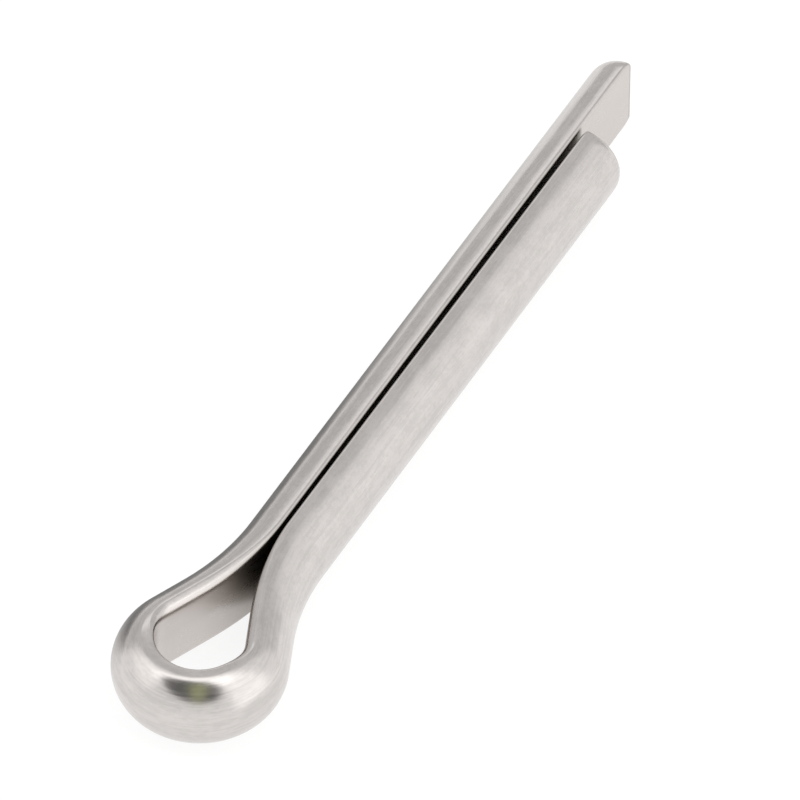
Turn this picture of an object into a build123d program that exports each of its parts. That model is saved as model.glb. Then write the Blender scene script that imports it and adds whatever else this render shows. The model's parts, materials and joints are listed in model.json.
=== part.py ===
"""Split cotter pin, bent from one length of half-round stainless wire.

The wire is doubled back on itself with its flat side inwards. The doubled end is opened into an eye, the two
legs run side by side as prongs that make up a round shank, and one prong is left longer than the other so
that the pair can be prised apart. The pin lies on its side: +X runs from the eye to the tips, +Z is up, and
the origin is under the middle of the pin's box. Lengths are in millimetres and angles in degrees.
"""

from build123d import *
import os
from math import atan2, cos, degrees, radians, sin, sqrt, tan

# Wire
shank_diameter = 3.6  # across the two half-round prongs where they lie together
corner_radius = 0.24  # soft edge between the wire's flat and its round

# Split between the prongs
neck_split = 0.12  # gap between the flats where the prongs come together
spread_angle = 0.09  # lean of each prong away from the middle plane

# Eye and neck
eye_hole_width = 3.6  # across the eye, between the flats
neck_bend_radius = 12.0  # slow bend from the eye into each prong, measured on the flat
flank_length = 1.6  # straight between the eye's arc and the neck bend

# Prongs, measured from the middle of the eye
long_prong_reach = 35.7
prong_overhang = 4.2  # how far the long prong runs past the short one

# Square-cut ends, whose round outer edge is drawn in by the shear
end_bevel_length = 0.8
end_bevel_depth = 0.16

# Derived sizes
shank_radius = shank_diameter / 2
eye_hole_radius = eye_hole_width / 2
neck_centre_offset = neck_split / 2 + neck_bend_radius
touching_distance = eye_hole_radius + neck_bend_radius
neck_setback = sqrt(touching_distance**2 + flank_length**2 - neck_centre_offset**2)
short_prong_reach = long_prong_reach - prong_overhang

LONG_SIDE = 1  # the long prong is on the +Y side of the split
SHORT_SIDE = -1
UP = Vector(0, 0, 1)


def wire_section() -> Sketch:
    """The wire's half-round section, with its flat along X = 0 and its round towards +X.

    The round is centred half a split behind the flat, so that two wires at that distance make a round shank.
    """
    round_bar = Pos(-neck_split / 2, 0) * Circle(shank_radius)
    flat_side = Pos(shank_radius, 0) * Rectangle(shank_diameter, shank_diameter)
    half_round = round_bar & flat_side
    return fillet(half_round.vertices(), corner_radius)


def flank_angle() -> float:
    """Direction, in radians, from the eye's middle to where its arc ends and a straight flank starts.

    The flank is the line that touches the eye's circle and the neck bend's circle, passing between the two.
    With both radii added up it makes a right-angled triangle whose long side joins the two middles.
    """
    centre_direction = atan2(neck_centre_offset, neck_setback)
    return centre_direction + atan2(flank_length, touching_distance)


def leg_edges(side: int, reach: float) -> list[Edge]:
    """One leg's route along the wire's flat, from its tip to the eye: prong, neck bend and flank."""
    eye_end = flank_angle()
    neck_centre = Vector(neck_setback, side * neck_centre_offset)

    def on_neck(direction: float) -> Vector:
        return neck_centre + Vector(cos(direction), side * sin(direction)) * neck_bend_radius

    prong_direction = radians(spread_angle - 90)
    flank_direction = eye_end - radians(180)
    prong_start = on_neck(prong_direction)
    prong_run = reach - prong_start.X
    tip = prong_start + Vector(prong_run, side * prong_run * tan(radians(spread_angle)))
    bend_middle = on_neck((prong_direction + flank_direction) / 2)
    flank_start = on_neck(flank_direction)
    flank_end = Vector(cos(eye_end), side * sin(eye_end)) * eye_hole_radius
    return [
        Edge.make_line(tip, prong_start),
        Edge.make_three_point_arc(prong_start, bend_middle, flank_start),
        Edge.make_line(flank_start, flank_end),
    ]


def wire_route() -> Wire:
    """The whole route along the wire's flat: down the long leg, round the eye and up the short leg."""
    eye_start = degrees(flank_angle())
    eye_arc = Edge.make_circle(eye_hole_radius, start_angle=eye_start, end_angle=-eye_start)
    long_leg = leg_edges(LONG_SIDE, long_prong_reach)
    short_leg = leg_edges(SHORT_SIDE, short_prong_reach)
    return Wire([*long_leg, eye_arc, *short_leg])


def end_bevel(tip: Plane) -> Part:
    """What the bevel takes off one cut end: all that lies outside a cone about the shank's axis.

    The tip's plane has X away from the wire's flat and Z into the wire. The cone runs one bevel length past
    both ends of the bevel, and it cuts only on its own side of the split, clear of the other prong.
    """
    cut_length = 3 * end_bevel_length
    on_centre = (Align.CENTER, Align.CENTER, Align.MIN)
    on_edge = (Align.MIN, Align.CENTER, Align.MIN)
    kept_cone = Cone(
        shank_radius - 2 * end_bevel_depth, shank_radius + end_bevel_depth, cut_length, align=on_centre
    )
    sleeve = Cylinder(shank_radius + 2 * end_bevel_depth, cut_length, align=on_centre)
    own_side = Pos(neck_split / 2, 0) * Box(shank_diameter, 2 * shank_diameter, cut_length, align=on_edge)
    shank_axis = tip * Pos(-neck_split / 2, 0, -end_bevel_length)
    return shank_axis * ((sleeve - kept_cone) & own_side)


def make_cotter_pin() -> Part:
    """The bent wire with its ends bevelled, set on the ground with its box centred on the origin."""
    route = wire_route()
    long_tip = Plane(origin=route @ 0, x_dir=(route % 0).cross(UP), z_dir=route % 0)
    short_tip = Plane(origin=route @ 1, x_dir=(route % 1).cross(UP), z_dir=-(route % 1))
    wire = sweep(long_tip * wire_section(), path=route)
    wire -= end_bevel(long_tip)
    wire -= end_bevel(short_tip)
    box = wire.bounding_box()
    middle = box.center()
    return Pos(-middle.X, -middle.Y, -box.min.Z) * wire


os.makedirs("parts", exist_ok=True)
export_step(make_cotter_pin(), "parts/cotter_pin.step")
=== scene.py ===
"""A split cotter pin: one length of half-round stainless wire, bent into an eye and two prongs.

The wire is one surface, its half-round section carried along the bent route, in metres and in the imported
model's own frame: +X from the eye to the tips, +Y across the split, +Z up. The pin lies on a white light
table in a light tent, and the camera stands where the photograph was taken from.
"""

import json
import logging
from dataclasses import dataclass, field
from enum import Enum
from math import atan2, cos, pi, radians, sin, sqrt

import bpy
import numpy as np
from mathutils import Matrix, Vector


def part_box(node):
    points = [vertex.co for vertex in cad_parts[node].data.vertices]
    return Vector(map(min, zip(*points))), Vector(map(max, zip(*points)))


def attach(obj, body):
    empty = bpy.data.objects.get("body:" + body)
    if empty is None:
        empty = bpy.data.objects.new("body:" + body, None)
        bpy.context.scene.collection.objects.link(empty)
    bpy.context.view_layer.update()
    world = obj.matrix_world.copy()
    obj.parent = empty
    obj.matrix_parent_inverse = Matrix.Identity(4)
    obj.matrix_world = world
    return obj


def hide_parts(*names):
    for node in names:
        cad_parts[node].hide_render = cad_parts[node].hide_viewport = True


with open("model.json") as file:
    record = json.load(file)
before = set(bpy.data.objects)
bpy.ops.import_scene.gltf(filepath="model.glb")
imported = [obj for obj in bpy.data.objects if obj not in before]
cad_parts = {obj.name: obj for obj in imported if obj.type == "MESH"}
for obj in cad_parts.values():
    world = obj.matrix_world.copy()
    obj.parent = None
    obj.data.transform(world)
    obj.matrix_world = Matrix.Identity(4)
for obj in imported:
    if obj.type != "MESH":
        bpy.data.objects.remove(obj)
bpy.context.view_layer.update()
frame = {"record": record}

MM = 0.001
MICRON = 0.000001
NODE = "cotter_pin"
BODY = "root"
UP = Vector((0, 0, 1))

Tone = tuple[float, float, float]
Density = tuple[float, float, float]
Socket = bpy.types.NodeSocket

log = logging.getLogger(NODE)


class Leg(Enum):
    """The two legs of the wire. The value is the side of the split that the leg lies on, along Y."""

    LONG = 1
    SHORT = -1


class WireData(Enum):
    """What the wire's surface carries for its finish and its painted shade, by the name of the mesh
    attribute.
    """

    PLACE = "drawn_place"
    MARKS = "wire_marks"


def grey(value: float) -> Tone:
    """A neutral tone of one brightness."""
    return (value, value, value)


def smooth_step(share: np.ndarray) -> np.ndarray:
    """Eases from 0 to 1: the share, held between 0 and 1, squared and times three less twice itself."""
    held = np.clip(share, 0, 1)
    return held**2 * (3 - 2 * held)


class NodeSheet:
    """A node tree that is built by short calls."""

    def __init__(self, tree: bpy.types.NodeTree) -> None:
        """Empties the tree and keeps it."""
        self.tree = tree
        self.tree.nodes.clear()

    def add(self, kind: str, inputs: dict | None = None, **settings: object) -> bpy.types.Node:
        """Adds one node.

        Args:
            kind: the node's type name.
            inputs: what goes into its sockets, by name or number: a socket to link, or a plain value.
            settings: the node's own properties.

        Returns:
            The new node.
        """
        node = self.tree.nodes.new(kind)
        for name, value in settings.items():
            setattr(node, name, value)
        for name, value in (inputs or {}).items():
            if isinstance(value, Socket):
                self.tree.links.new(value, node.inputs[name])
            else:
                node.inputs[name].default_value = value
        return node

    def math(self, operation: str, *values: Socket | float) -> Socket:
        """Adds one sum and returns its result."""
        return self.add("ShaderNodeMath", dict(enumerate(values)), operation=operation).outputs[0]

    def ease(self, value: Socket, start: float, end: float) -> Socket:
        """Adds a soft step and returns it, 0 at the start and 1 at the end."""
        inputs = {"Value": value, "From Min": start, "From Max": end}
        return self.add("ShaderNodeMapRange", inputs, interpolation_type="SMOOTHSTEP").outputs["Result"]

    def blend(self, share: Socket, first: Socket | Tone, second: Socket | Tone) -> Socket:
        """Adds a mix of two colours.

        Args:
            share: how much of the second colour shows, from 0 to 1.
            first: the first colour, as a socket or as a tone.
            second: the second colour, as a socket or as a tone.

        Returns:
            The mixed colour.
        """
        inputs = {"Factor": share}
        for name, colour in (("A", first), ("B", second)):
            inputs[name] = colour if isinstance(colour, Socket) else (*colour, 1)
        return self.add("ShaderNodeMix", inputs, data_type="RGBA").outputs["Result"]

    def bump(self, relief: Socket, height: float, normal: Socket | None = None) -> Socket:
        """Adds a relief to a surface.

        Args:
            relief: the relief, from 0 to 1.
            height: how high its highest point stands, in metres.
            normal: the normal of the surface before, if it has a relief already.

        Returns:
            The new normal.
        """
        inputs = {"Height": relief, "Distance": height}
        if normal is not None:
            inputs["Normal"] = normal
        return self.add("ShaderNodeBump", inputs).outputs[0]


def empty_material(name: str) -> tuple[bpy.types.Material, NodeSheet]:
    """Makes a material with an empty node tree, and the sheet that fills it.

    Args:
        name: the material's name.

    Returns:
        The material and its sheet.
    """
    material = bpy.data.materials.new(name)
    material.use_nodes = True
    return material, NodeSheet(material.node_tree)


def put_in_scene(name: str, data: bpy.types.ID) -> bpy.types.Object:
    """Makes an object at the origin and links it to the scene.

    Args:
        name: the object's name.
        data: the mesh or the camera that it shows.

    Returns:
        The object.
    """
    thing = bpy.data.objects.new(name, data)
    bpy.context.scene.collection.objects.link(thing)
    return thing


@dataclass(frozen=True)
class HalfRoundSection:
    """The wire's half-round section, in metres.

    The flat lies at zero and the round stands outwards from it. The round's centre is the shank's axis, half
    a split behind the flat, so that two wires laid flat to flat make one round shank.
    """

    half_split: float
    flat_steps: int = 9
    corner_steps: int = 12
    round_steps: int = 37

    def outline(self, radius: np.ndarray, corner: np.ndarray) -> tuple[np.ndarray, np.ndarray]:
        """Works out the closed outline of many rows at once.

        Each outline runs up the flat from its middle, round the upper corner's arc, over the round and back
        by the mirrored corner. The corner's centre lies one corner radius out from the flat, and the round's
        radius less the corner's away from the round's centre, so both arcs touch.

        Args:
            radius: the round's radius on each row.
            corner: the corner's radius on each row.

        Returns:
            Distance outwards from the flat, and height above the wire's middle, both as rows by points.
        """
        radius, corner = radius[:, None], corner[:, None]
        corner_height = np.sqrt((radius - corner) ** 2 - (corner + self.half_split) ** 2)
        corner_angle = np.arctan2(corner_height, corner + self.half_split)
        flat = np.linspace(0, 1, self.flat_steps, endpoint=False)[None, :]
        turn = np.linspace(0, 1, self.corner_steps, endpoint=False)[None, :]
        sweep = np.linspace(0, 1, self.round_steps, endpoint=False)[None, :]
        turn_angle = pi + (corner_angle - pi) * turn
        sweep_angle = corner_angle * (1 - sweep)
        flat_out = 0 * corner_height * flat
        corner_out = corner + corner * np.cos(turn_angle)
        round_out = radius * np.cos(sweep_angle) - self.half_split
        flat_up = corner_height * flat
        corner_up = corner_height + corner * np.sin(turn_angle)
        round_up = radius * np.sin(sweep_angle)
        out = np.concatenate([flat_out, corner_out, round_out], axis=1)
        up = np.concatenate([flat_up, corner_up, round_up], axis=1)
        nose = radius - self.half_split
        out = np.concatenate([out, nose, out[:, :0:-1]], axis=1)
        up = np.concatenate([up, 0 * nose, -up[:, :0:-1]], axis=1)
        return out, up


@dataclass(frozen=True)
class BentRoute:
    """The route of the wire's flat, seen from above, in metres from the middle of the eye.

    From the crown of the eye each leg runs through half the eye's arc, a straight flank, the neck bend, which
    turns the other way, and the straight prong.
    """

    eye_radius: float
    neck_radius: float
    flank: float
    half_split: float
    spread: float
    reach: dict[Leg, float]

    def stretches(self) -> tuple[np.ndarray, np.ndarray]:
        """Works out half the eye, the flank and the neck bend, in order from the crown.

        The flank touches the eye's circle and the neck bend's, and with both radii added up it makes a
        right-angled triangle whose long side joins the two centres.

        Returns:
            The length and the curvature of each stretch.
        """
        touch = self.eye_radius + self.neck_radius
        neck_side = self.half_split + self.neck_radius
        setback = sqrt(touch**2 + self.flank**2 - neck_side**2)
        eye_end = atan2(neck_side, setback) + atan2(self.flank, touch)
        neck_turn = pi / 2 - eye_end + self.spread
        lengths = [self.eye_radius * (pi - eye_end), self.flank, self.neck_radius * neck_turn]
        return np.array(lengths), np.array([-1 / self.eye_radius, 0, 1 / self.neck_radius])

    def half(self, distance: np.ndarray) -> tuple[np.ndarray, np.ndarray, np.ndarray]:
        """Follows one leg from the crown of the eye.

        On each stretch the heading grows by curvature times distance, and the chord is the distance times the
        sine of half that turn over half that turn, along the middle heading.

        Args:
            distance: distances along the flat from the crown, none below zero.

        Returns:
            X, Y and heading at each distance, for the leg on the +Y side.
        """
        lengths, bends = self.stretches()
        lengths = np.append(lengths, np.inf)
        bends = np.append(bends, 0)
        x = np.full_like(distance, -self.eye_radius)
        y = np.zeros_like(distance)
        heading = np.full_like(distance, pi / 2)
        start = 0.0
        for length, bend in zip(lengths, bends):
            run = np.clip(distance - start, 0, length)
            chord = run * np.sinc(bend * run / (2 * pi))
            middle = heading + bend * run / 2
            x = x + chord * np.cos(middle)
            y = y + chord * np.sin(middle)
            heading = heading + bend * run
            start += length
        return x, y, heading

    def leg_length(self, leg: Leg) -> float:
        """Works out the length of one leg along the flat, from the crown of the eye to the tip.

        Args:
            leg: which leg.

        Returns:
            The length.
        """
        bent = float(self.stretches()[0].sum())
        neck_end = self.half(np.array([bent]))[0][0]
        return bent + (self.reach[leg] - neck_end) / cos(self.spread)


@dataclass(frozen=True)
class Grain:
    """A noise on the straight wire, with grains to the millimetre along it, outwards and upwards.

    It is moved off the noise's own lattice, on which it would fade away along the middle of the flat.
    """

    density: Density
    detail: float
    roughness: float = 0.55
    shift: Density = (0.37, 0.53, 0.71)

    def add_to(self, sheet: NodeSheet, place: Socket) -> Socket:
        """Adds the noise to a tree.

        Args:
            sheet: the tree to add to.
            place: the place on the straight wire, in millimetres.

        Returns:
            The noise, about one half on average.
        """
        inputs = {0: place, 1: self.density, 2: self.shift}
        scaled = sheet.add("ShaderNodeVectorMath", inputs, operation="MULTIPLY_ADD").outputs[0]
        inputs = {"Vector": scaled, "Scale": 1.0, "Detail": self.detail, "Roughness": self.roughness}
        return sheet.add("ShaderNodeTexNoise", inputs).outputs[0]


@dataclass(frozen=True)
class DrawnStainless:
    """Finish of drawn stainless wire: satin, with fine lines along the wire and a soft mottle from tumbling.

    Patterns are measured on the straight wire, before it was bent, so the lines follow the bends. The flats
    are darkened with painted shade where they lie close together in the split, and the cut faces are torn.
    """

    name: str = "drawn_stainless"
    bright_tone: Tone = (0.66, 0.625, 0.605)
    dull_tone: Tone = (0.585, 0.556, 0.537)
    flat_tone: Tone = (0.62, 0.58, 0.555)
    # The darkest tone: painted shade on the flats deep in the split, and the darker burr at the cut ends
    shade_and_burr_tone: Tone = (0.12, 0.105, 0.08)
    cut_tone: Tone = (0.60, 0.58, 0.565)
    torn_tone: Tone = (0.36, 0.34, 0.325)
    lines: Grain = Grain((0.12, 7.0, 7.0), 2.0)
    hairs: Grain = Grain((0.35, 24.0, 24.0), 1.0)
    mottle: Grain = Grain((0.9, 1.6, 1.6), 3.0)
    specks: Grain = Grain((5.0, 7.0, 7.0), 2.0)
    waves: Grain = Grain((0.3, 0.45, 0.45), 1.0)
    shear: Grain = Grain((1.0, 6.0, 1.3), 2.0)
    line_share: float = 0.6
    hair_share: float = 0.5
    mottle_share: float = 0.8
    speck_share: float = 0.6
    worn_range: tuple[float, float] = (1.02, 1.46)
    line_height: float = 1.6 * MICRON
    speck_height: float = 1.2 * MICRON
    wave_height: float = 30 * MICRON
    shear_height: float = 25 * MICRON
    smooth: float = 0.10
    line_rough: float = 0.07
    mottle_rough: float = 0.15
    flat_rough: float = 0.08
    cut_rough: float = 0.25

    def make(self) -> bpy.types.Material:
        """Builds the material.

        The wear is the sum of the lines, hairs, mottle and specks, each times its share, and it turns the
        dull tone bright. The lines, the mottle, the flat and the cut faces each add to the roughness. The
        waves, lines and specks, and the ridges on the cut faces, are reliefs. The dark mark lays painted
        shade on the flats in the split, and darkens the burr at the cut ends.

        Returns:
            The finished material.
        """
        material, sheet = empty_material(self.name)
        place = sheet.add("ShaderNodeAttribute", attribute_name=WireData.PLACE.value).outputs["Vector"]
        marks = sheet.add("ShaderNodeAttribute", attribute_name=WireData.MARKS.value).outputs["Vector"]
        flat, cut, dark = sheet.add("ShaderNodeSeparateXYZ", {0: marks}).outputs
        lines = self.lines.add_to(sheet, place)
        hairs = self.hairs.add_to(sheet, place)
        mottle = self.mottle.add_to(sheet, place)
        specks = self.specks.add_to(sheet, place)
        waves = self.waves.add_to(sheet, place)
        shear = self.shear.add_to(sheet, place)
        mixed = sheet.math("MULTIPLY", lines, self.line_share)
        mixed = sheet.math("MULTIPLY_ADD", hairs, self.hair_share, mixed)
        mixed = sheet.math("MULTIPLY_ADD", mottle, self.mottle_share, mixed)
        mixed = sheet.math("MULTIPLY_ADD", specks, self.speck_share, mixed)
        tone = sheet.blend(sheet.ease(mixed, *self.worn_range), self.dull_tone, self.bright_tone)
        tone = sheet.blend(flat, tone, self.flat_tone)
        tone = sheet.blend(cut, tone, sheet.blend(shear, self.torn_tone, self.cut_tone))
        # Painted shade on the flats where the legs lie close in the split, and the darker burr at the cut
        # ends
        tone = sheet.blend(dark, tone, self.shade_and_burr_tone)
        rough = sheet.math("MULTIPLY_ADD", lines, self.line_rough, self.smooth)
        rough = sheet.math("MULTIPLY_ADD", mottle, self.mottle_rough, rough)
        rough = sheet.math("MULTIPLY_ADD", flat, self.flat_rough, rough)
        rough = sheet.math("MULTIPLY_ADD", cut, self.cut_rough, rough)
        normal = sheet.bump(waves, self.wave_height)
        normal = sheet.bump(lines, self.line_height, normal)
        normal = sheet.bump(specks, self.speck_height, normal)
        normal = sheet.bump(sheet.math("MULTIPLY", shear, cut), self.shear_height, normal)
        metal = {"Base Color": tone, "Metallic": 1.0, "Roughness": rough, "Normal": normal}
        shader = sheet.add("ShaderNodeBsdfPrincipled", metal)
        sheet.add("ShaderNodeOutputMaterial", {"Surface": shader.outputs["BSDF"]})
        return material


@dataclass
class CotterPin:
    """The pin: one bent wire, with its flat inwards, square-cut ends and prongs of unequal length.

    The bend rounded the wire's inner edges and squeezed up the rim of the eye, whose upper side is left with
    a narrow level land. The lower side was bent against a plate and stayed as it was.
    """

    # Route of the wire
    neck_split: float = 0.12 * MM
    spread: float = radians(0.09)
    neck_bend_radius: float = 12 * MM
    flank_length: float = 1.6 * MM
    prong_overhang: float = 4.2 * MM
    # Inner edges, and the land on the rim of the eye
    eye_corner: float = 0.12 * MM
    flank_corner: float = 0.42 * MM
    prong_corner: float = 0.15 * MM
    land_rise: float = 0.06 * MM
    land_width: float = 0.5 * MM
    land_fade: float = 1.0 * MM
    # Cut ends
    bevel_length: float = 0.8 * MM
    bevel_depth: float = 0.16 * MM
    bevel_power: float = 4.0
    end_edge: float = 0.05 * MM
    # Marks for the finish, and for the painted shade in the split
    flat_share: float = 0.5
    split_shade_gap: float = 3.2 * MM
    split_shade_end: float = 0.12 * MM
    split_shade_power: float = 3.0
    burr_reach: float = 0.14 * MM
    burr_share: float = 0.7
    # Rows of the surface
    bend_step: float = 0.1 * MM
    prong_step: float = 0.2 * MM
    end_step: float = 0.04 * MM
    edge_rows: int = 5
    face_rings: int = 9
    finish: DrawnStainless = field(default_factory=DrawnStainless)
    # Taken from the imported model
    low: Vector = field(init=False)
    high: Vector = field(init=False)
    shank_radius: float = field(init=False)
    eye_middle: Vector = field(init=False)
    section: HalfRoundSection = field(init=False)
    route: BentRoute = field(init=False)

    def __post_init__(self) -> None:
        """Takes the pin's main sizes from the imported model."""
        low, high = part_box(NODE)
        mounts = {mount["name"]: mount for mount in frame["record"]["mounts"]}
        self.low, self.high = low, high
        self.shank_radius = mounts["shank"]["dims"]["r_mm"] * MM
        half_split = self.neck_split / 2
        eye_outside = (high.y - low.y) / 2
        self.eye_middle = Vector((low.x + eye_outside, 0, (low.z + high.z) / 2))
        long_reach = high.x - self.eye_middle.x
        reach = {Leg.LONG: long_reach, Leg.SHORT: long_reach - self.prong_overhang}
        eye_radius = eye_outside - self.shank_radius + half_split
        self.section = HalfRoundSection(half_split)
        self.route = BentRoute(
            eye_radius, self.neck_bend_radius, self.flank_length, half_split, self.spread, reach
        )

    def leg_rows(self, leg: Leg) -> tuple[np.ndarray, np.ndarray]:
        """Chooses the rows of the surface along one leg, from the crown of the eye to the tip.

        The rows are close in the bends and at the end, go round the end's small edge, and close the end face
        in rings.

        Args:
            leg: which leg.

        Returns:
            Distance of each row from the crown, and how far each row is drawn in to the section's middle,
            from 0 to 1.
        """
        bent = float(self.route.stretches()[0].sum())
        length = self.route.leg_length(leg)
        bevel = length - self.bevel_length
        edge = length - self.end_edge
        bend_rows = np.arange(0, bent, self.bend_step)
        prong_rows = np.arange(bent, bevel, self.prong_step)
        end_rows = np.linspace(bevel, edge, round(self.bevel_length / self.end_step))
        turn = np.linspace(0, pi / 2, self.edge_rows)[1:]
        edge_rows = edge + self.end_edge * np.sin(turn)
        edge_inset = self.end_edge / self.shank_radius * (1 - np.cos(turn))
        face_inset = np.linspace(edge_inset[-1], 1, self.face_rings, endpoint=False)[1:]
        face_rows = np.full(face_inset.size, length)
        along = np.concatenate([bend_rows, prong_rows, end_rows, edge_rows, face_rows])
        inset = np.zeros(along.size)
        inset[-edge_inset.size - face_inset.size :] = np.concatenate([edge_inset, face_inset])
        return along, inset

    def edges(self, distance: np.ndarray) -> tuple[np.ndarray, np.ndarray]:
        """Works out how the bends left the wire's inner edges.

        The radius eases from the prong's to the flank's over the neck bend, and from the flank's to the eye's
        over the half of its arc that is next to the flank.

        Args:
            distance: distance of each row from the crown of the eye.

        Returns:
            How much of each row is at the crown, from 0 to 1, and the radius of its edges.
        """
        eye_end, neck_start, neck_end = np.cumsum(self.route.stretches()[0])
        bent = 1 - smooth_step((distance - neck_start) / (neck_end - neck_start))
        crown = 1 - smooth_step(2 * distance / eye_end - 1)
        corner = self.prong_corner + (self.flank_corner - self.prong_corner) * bent
        return crown, corner + (self.eye_corner - corner) * crown

    def land(self, out: np.ndarray) -> np.ndarray:
        """Works out what the squeezed rim adds to the section's height.

        Over the land's width it fills the round up to a level a little above its top, and from there it fades
        away.

        Args:
            out: distances outwards from the flat.

        Returns:
            The height added at each distance.
        """
        half_split = self.section.half_split
        filled = np.clip(out, 0, self.land_width) + half_split
        top = sqrt(self.shank_radius**2 - half_split**2) + self.land_rise
        lift = top - np.sqrt(self.shank_radius**2 - filled**2)
        return lift * (1 - smooth_step((out - self.land_width) / self.land_fade))

    def painted_split_shade(self, distance: np.ndarray, beside: np.ndarray, flat: np.ndarray) -> np.ndarray:
        """Works out the painted shade on the flats where the other leg lies close, in the split.

        The share is one less the gap between the legs over the gap at which the painted shade ends, to a
        power.
        The long leg's flat is unshaded past the short tip.

        Args:
            distance: distance of each row from the crown of the eye.
            beside: distance of each row's flat from the middle of the split.
            flat: how much of each point is on the flat.

        Returns:
            How much painted shade each point takes, from 0 to 1.
        """
        faced = np.clip((self.route.leg_length(Leg.SHORT) - distance) / self.split_shade_end, 0, 1)
        close = np.clip(1 - 2 * beside / self.split_shade_gap, 0, 1) ** self.split_shade_power
        return flat * (close * faced)[:, None]

    def build(self) -> bpy.types.Object:
        """Makes the wire's surface.

        A point is the route's point, plus its distance outwards along the route's level normal, plus its
        height, with the lowest one on the table. The end faces close on the half-round's centroid, four radii
        over three pi from its flat. The marks say how much of a point is on the flat, on a cut face, and
        darkened: painted shade where the flats lie close in the split, and a darker burr at the edge of a
        cut.

        Returns:
            The wire as a mesh object at the origin.
        """
        long_along, long_inset = self.leg_rows(Leg.LONG)
        short_along, short_inset = self.leg_rows(Leg.SHORT)
        along = np.concatenate([-short_along[:0:-1], long_along])
        inset = np.concatenate([short_inset[:0:-1], long_inset])[:, None]
        distance = np.abs(along)
        side = np.where(along < 0, Leg.SHORT.value, Leg.LONG.value)
        length = np.where(along < 0, self.route.leg_length(Leg.SHORT), self.route.leg_length(Leg.LONG))
        tip = length - distance
        x, y, heading = self.route.half(distance)
        bevel = np.clip(1 - tip / self.bevel_length, 0, 1) ** self.bevel_power
        crown, corner = self.edges(distance)
        out, up = self.section.outline(self.shank_radius - self.bevel_depth * bevel, corner)
        flat = np.clip(1 - out / (self.flat_share * corner[:, None]), 0, 1)
        cut = np.broadcast_to(np.clip(inset * self.shank_radius / self.end_edge, 0, 1), out.shape)
        burr = self.burr_share * np.clip(1 - tip / self.burr_reach, 0, 1)[:, None] * (1 - cut)
        # Painted shade on the flats where the legs lie close in the split, or the darker burr at a cut end
        dark = np.maximum(self.painted_split_shade(distance, y, flat), burr)
        up = up + self.land(out) * crown[:, None] * np.clip(up / self.shank_radius, 0, 1)
        section_middle = self.shank_radius * 4 / (3 * pi)
        out = out + (section_middle - out) * inset
        up = up * (1 - inset)
        normal_x = -np.sin(heading)[:, None]
        normal_y = (side * np.cos(heading))[:, None]
        place_x = self.eye_middle.x + x[:, None] + out * normal_x
        place_y = (side * y)[:, None] + out * normal_y
        place_z = self.low.z + up - up.min()
        points = np.stack([place_x, place_y, place_z], axis=-1)
        drawn = np.stack([np.broadcast_to(along[:, None], out.shape), out, up], axis=-1) / MM
        marks = np.stack([flat, cut, dark], axis=-1)
        return self.skin(points, {WireData.PLACE: drawn, WireData.MARKS: marks})

    def skin(self, points: np.ndarray, data: dict[WireData, np.ndarray]) -> bpy.types.Object:
        """Turns the rows of points into a closed mesh.

        Args:
            points: the surface, as rows by points around by three.
            data: what each point carries, in the same shape.

        Returns:
            The mesh object.
        """
        rows, around = points.shape[:2]
        index = np.arange(rows * around).reshape(rows, around)
        after = np.roll(index, -1, axis=1)
        quads = np.stack([index[:-1], index[1:], after[1:], after[:-1]], axis=-1).reshape(-1, 4)
        poles = rows * around + np.arange(2)
        first = np.stack([index[0], after[0], np.full(around, poles[0])], axis=-1)
        last = np.stack([after[-1], index[-1], np.full(around, poles[1])], axis=-1)
        verts = np.concatenate([points.reshape(-1, 3), points[[0, -1]].mean(axis=1)])
        mesh = bpy.data.meshes.new("cotter_pin_wire")
        mesh.from_pydata(verts.tolist(), [], [*quads.tolist(), *first.tolist(), *last.tolist()])
        mesh.shade_smooth()
        for kind, values in data.items():
            closed = np.concatenate([values.reshape(-1, 3), values[[0, -1]].mean(axis=1)])
            attribute = mesh.attributes.new(kind.value, "FLOAT_VECTOR", "POINT")
            attribute.data.foreach_set("vector", closed.ravel())
        return put_in_scene("cotter_pin_wire", mesh)

    def dress(self) -> bpy.types.Object:
        """Builds the wire, gives it its finish and hands it to the frame.

        Returns:
            The finished wire.
        """
        wire = self.build()
        wire.data.materials.append(self.finish.make())
        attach(wire, BODY)
        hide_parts(NODE)
        return wire


@dataclass(frozen=True)
class PhotoCamera:
    """The camera, at the photograph's viewing point, aimed at the pin's middle.

    The viewing point is in metres from the table under the middle of the eye. Lens and sensor are in
    millimetres.
    """

    from_eye: tuple[float, float, float] = (-0.2394, -0.1437, 0.3285)
    lens: float = 490.0
    sensor: float = 36.0
    nearest: float = 0.01
    farthest: float = 10.0

    def place(self, pin: CotterPin) -> bpy.types.Object:
        """Makes the camera and sets it as the scene's own.

        Args:
            pin: the pin that the camera looks at.

        Returns:
            The camera.
        """
        data = bpy.data.cameras.new("photo_camera")
        data.lens = self.lens
        data.sensor_width = self.sensor
        data.clip_start = self.nearest
        data.clip_end = self.farthest
        camera = put_in_scene("photo_camera", data)
        ground_eye = Vector((pin.eye_middle.x, pin.eye_middle.y, pin.low.z))
        aim = (pin.low + pin.high) / 2
        camera.location = ground_eye + Vector(self.from_eye)
        camera.rotation_euler = (aim - camera.location).to_track_quat("-Z", "Y").to_euler()
        bpy.context.scene.camera = camera
        return camera


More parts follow.
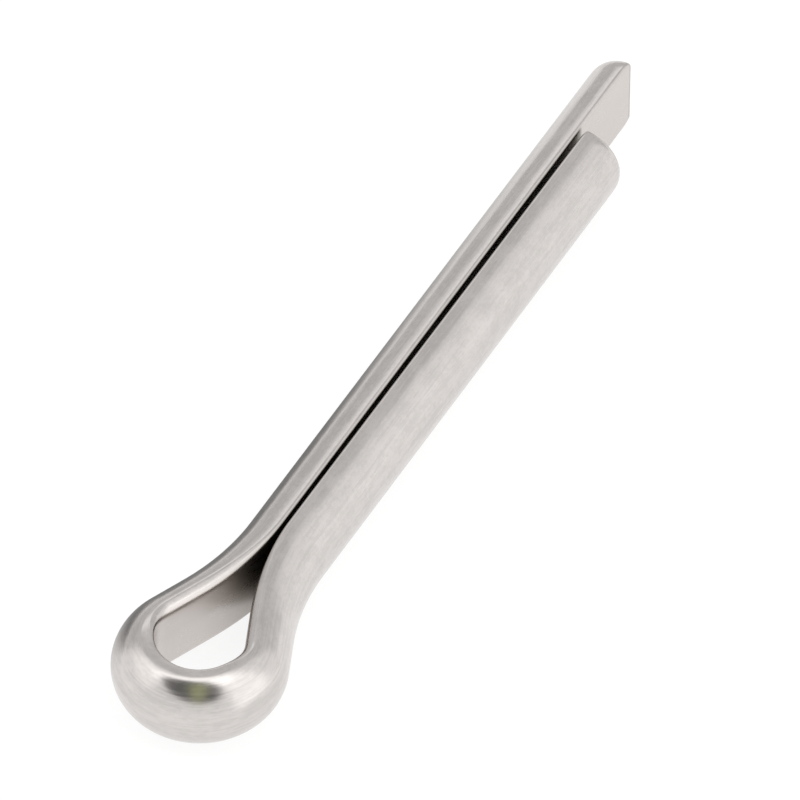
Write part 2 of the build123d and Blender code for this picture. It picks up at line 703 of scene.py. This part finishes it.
@dataclass(frozen=True)
class LightTable:
    """The white table that the pin lies on, lit from below."""

    half_width: float = 1.5
    tone: float = 0.18
    glow: float = 0.86
    rough: float = 0.9

    def build(self, height: float) -> bpy.types.Object:
        """Makes the table top.

        Args:
            height: height of the top.

        Returns:
            The table.
        """
        signs = ((-1, -1), (1, -1), (1, 1), (-1, 1))
        corners = [(x * self.half_width, y * self.half_width, height) for x, y in signs]
        mesh = bpy.data.meshes.new("light_table")
        mesh.from_pydata(corners, [], [range(len(corners))])
        table = put_in_scene("light_table", mesh)
        material, sheet = empty_material("white_acrylic")
        acrylic = {"Base Color": (*grey(self.tone), 1), "Roughness": self.rough}
        light = {"Emission Color": (*grey(1), 1), "Emission Strength": self.glow}
        shader = sheet.add("ShaderNodeBsdfPrincipled", {**acrylic, **light})
        sheet.add("ShaderNodeOutputMaterial", {"Surface": shader.outputs["BSDF"]})
        mesh.materials.append(material)
        return table


@dataclass(frozen=True)
class GreyCard:
    """A grey card beside the long prong, which only the metal sees. It draws the prong's edge on the white.

    Its start, neck, end and fades are places along X. It darkens from white beside the eye and lightens again
    towards the tips.
    """

    gap: float = 0.9 * MM
    depth: float = 60 * MM
    start: float = -21 * MM
    neck: float = -9 * MM
    end: float = 60 * MM
    lift: float = 0.02 * MM
    fade_in: tuple[float, float] = (-19 * MM, -11 * MM)
    fade_out: tuple[float, float] = (-2 * MM, 24 * MM)
    white: float = 1.0
    dark: float = 0.24

    def build(self, pin: CotterPin) -> bpy.types.Object:
        """Lays the card on the table.

        Args:
            pin: the pin that the card lies beside.

        Returns:
            The card.
        """
        beside_eye = pin.high.y + self.gap
        beside_prong = pin.shank_radius + self.gap
        far = beside_eye + self.depth
        near_edge = [(self.start, beside_eye), (self.neck, beside_prong), (self.end, beside_prong)]
        outline = [*near_edge, (self.end, far), (self.start, far)]
        corners = [(*corner, pin.low.z + self.lift) for corner in outline]
        mesh = bpy.data.meshes.new("grey_card")
        mesh.from_pydata(corners, [], [range(len(corners))])
        card = put_in_scene("grey_card", mesh)
        material, sheet = empty_material("grey_card")
        place = sheet.add("ShaderNodeTexCoord").outputs["Object"]
        along = sheet.add("ShaderNodeSeparateXYZ", {0: place}).outputs[0]
        begun = sheet.ease(along, *self.fade_in)
        left = sheet.ease(along, *self.fade_out[::-1])
        tone = sheet.blend(sheet.math("MULTIPLY", begun, left), grey(self.white), grey(self.dark))
        glow = sheet.add("ShaderNodeEmission", {"Color": tone})
        sheet.add("ShaderNodeOutputMaterial", {"Surface": glow.outputs[0]})
        mesh.materials.append(material)
        card.visible_camera = False
        card.visible_diffuse = False
        card.visible_shadow = False
        return card


class PanelShape(Enum):
    """How a panel of the tent is bounded."""

    SECTOR = "between two bearings and two heights"
    OVAL = "oval, and square to the line from the pin"


@dataclass(frozen=True)
class TentPanel:
    """One soft-edged panel of the light tent, in degrees as seen from the pin.

    The bearing is clockwise from straight ahead of the camera, and the height is above the table. The blur is
    half the width of the soft edge, and the lean is the panel's drift clockwise for each degree of height.
    """

    name: str
    bearing: float
    height: float
    half_width: float
    half_height: float
    blur: float
    glow: Tone
    shape: PanelShape = PanelShape.SECTOR
    lean: float = 0.0

    def tilt(self) -> float:
        """How far the panel leans back from upright, in radians."""
        return radians(self.height) if self.shape is PanelShape.OVAL else 0.0

    def axes(self, ahead: Vector) -> tuple[Vector, Vector, Vector]:
        """Works out the panel's own directions: along its width, towards it and along its height.

        Args:
            ahead: the level direction in which the camera looks.

        Returns:
            Three unit vectors at right angles.
        """
        right = ahead.cross(UP)
        turn, tilt = radians(self.bearing), self.tilt()
        level = ahead * cos(turn) + right * sin(turn)
        aside = right * cos(turn) - ahead * sin(turn)
        return aside, level * cos(tilt) + UP * sin(tilt), UP * cos(tilt) - level * sin(tilt)

    def mask(self, sheet: NodeSheet, direction: Socket, ahead: Vector) -> Socket:
        """Adds the nodes that say how much of the panel is seen in a direction.

        The direction's angles from the panel's middle, along its width and its height, are divided by half
        the width and half the height, so that each share is 1 at the panel's edge. A sector is the product of
        one blurred step for each share. An oval is one blurred step of the root of the shares' squares' sum.

        Args:
            sheet: the tree to add to.
            direction: the direction that is looked in.
            ahead: the level direction in which the camera looks.

        Returns:
            A socket that is 1 on the panel and 0 off it.
        """
        parts = []
        for axis in self.axes(ahead):
            dot = sheet.add("ShaderNodeVectorMath", {0: direction, 1: axis}, operation="DOT_PRODUCT")
            parts.append(dot.outputs["Value"])
        across = sheet.math("ARCTAN2", parts[0], parts[1])
        along = sheet.math("SUBTRACT", sheet.math("ARCSINE", parts[2]), radians(self.height) - self.tilt())
        across = sheet.math("MULTIPLY_ADD", along, -self.lean, across)
        wide = sheet.math("ABSOLUTE", sheet.math("DIVIDE", across, radians(self.half_width)))
        high = sheet.math("ABSOLUTE", sheet.math("DIVIDE", along, radians(self.half_height)))
        wide_blur, high_blur = self.blur / self.half_width, self.blur / self.half_height
        if self.shape is PanelShape.OVAL:
            squares = sheet.math("ADD", sheet.math("POWER", wide, 2.0), sheet.math("POWER", high, 2.0))
            blur = max(wide_blur, high_blur)
            return sheet.ease(sheet.math("SQRT", squares), 1 + blur, 1 - blur)
        wide_step = sheet.ease(wide, 1 + wide_blur, 1 - wide_blur)
        high_step = sheet.ease(high, 1 + high_blur, 1 - high_blur)
        return sheet.math("MULTIPLY", wide_step, high_step)


@dataclass(frozen=True)
class LightTent:
    """The soft light all round the pin.

    The walls are white, with softboxes on both sides and a dark opening for the camera. Each panel covers the
    ones before it.
    """

    wall: float = 1.0
    backdrop: float = 0.94
    # Name, bearing, height, half width, half height, blur, glow, shape and lean
    panels: tuple[TentPanel, ...] = (
        TentPanel("back_wall", -1, 28, 57, 34, 6, grey(0.68)),
        TentPanel("back_window", -9, 37, 10, 6, 5, grey(1.25)),
        TentPanel("back_corner", -40, 2, 18, 12, 8, grey(0.62)),
        TentPanel("left_softbox", -90, 36, 22, 18, 7, grey(1.28)),
        TentPanel("left_top", -112, 59, 22, 18, 7, grey(1.75)),
        TentPanel("right_softbox", 113, 42, 25, 46, 10, grey(1.45)),
        TentPanel("right_top", 134, 62, 26, 14, 6, grey(1.9)),
        TentPanel("overhead", 0, 90, 190, 16, 3, grey(1.5)),
        TentPanel("camera_opening", -167, 51.5, 33, 21.5, 3, grey(0.11), PanelShape.OVAL, 0.35),
        TentPanel("lens", -178, 49, 9, 18, 6, (0.41, 0.44, 0.25), PanelShape.OVAL),
    )

    def light(self, ahead: Vector) -> bpy.types.World:
        """Makes the tent as the scene's world. What lies behind the pin is a plain pale backdrop.

        Args:
            ahead: the level direction in which the camera looks.

        Returns:
            The world.
        """
        world = bpy.data.worlds.new("light_tent")
        world.use_nodes = True
        sheet = NodeSheet(world.node_tree)
        direction = sheet.add("ShaderNodeTexCoord").outputs["Generated"]
        seen = grey(self.wall)
        for panel in self.panels:
            seen = sheet.blend(panel.mask(sheet, direction, ahead), seen, panel.glow)
        tent = sheet.add("ShaderNodeBackground", {"Color": seen})
        plain = sheet.add("ShaderNodeBackground", {"Color": (*grey(self.backdrop), 1)})
        straight = sheet.add("ShaderNodeLightPath").outputs["Is Camera Ray"]
        shown = sheet.add("ShaderNodeMixShader", {0: straight, 1: tent.outputs[0], 2: plain.outputs[0]})
        sheet.add("ShaderNodeOutputWorld", {"Surface": shown.outputs[0]})
        bpy.context.scene.world = world
        bpy.context.scene.view_settings.view_transform = "Standard"
        return world


def main() -> None:
    """Builds the pin, the table, the card, the camera and the tent, in that order."""
    logging.basicConfig(level=logging.INFO, format="%(name)s: %(message)s")
    pin = CotterPin()
    wire = pin.dress()
    log.info("%s: %d faces", wire.name, len(wire.data.polygons))
    table = LightTable().build(pin.low.z)
    log.info("%s: staged", table.name)
    card = GreyCard().build(pin)
    log.info("%s: staged", card.name)
    camera = PhotoCamera().place(pin)
    log.info("%s: placed", camera.name)
    ahead = Vector((-camera.location.x, -camera.location.y, 0)).normalized()
    tent = LightTent().light(ahead)
    log.info("%s: lit", tent.name)


if __name__ == "__main__":
    main()
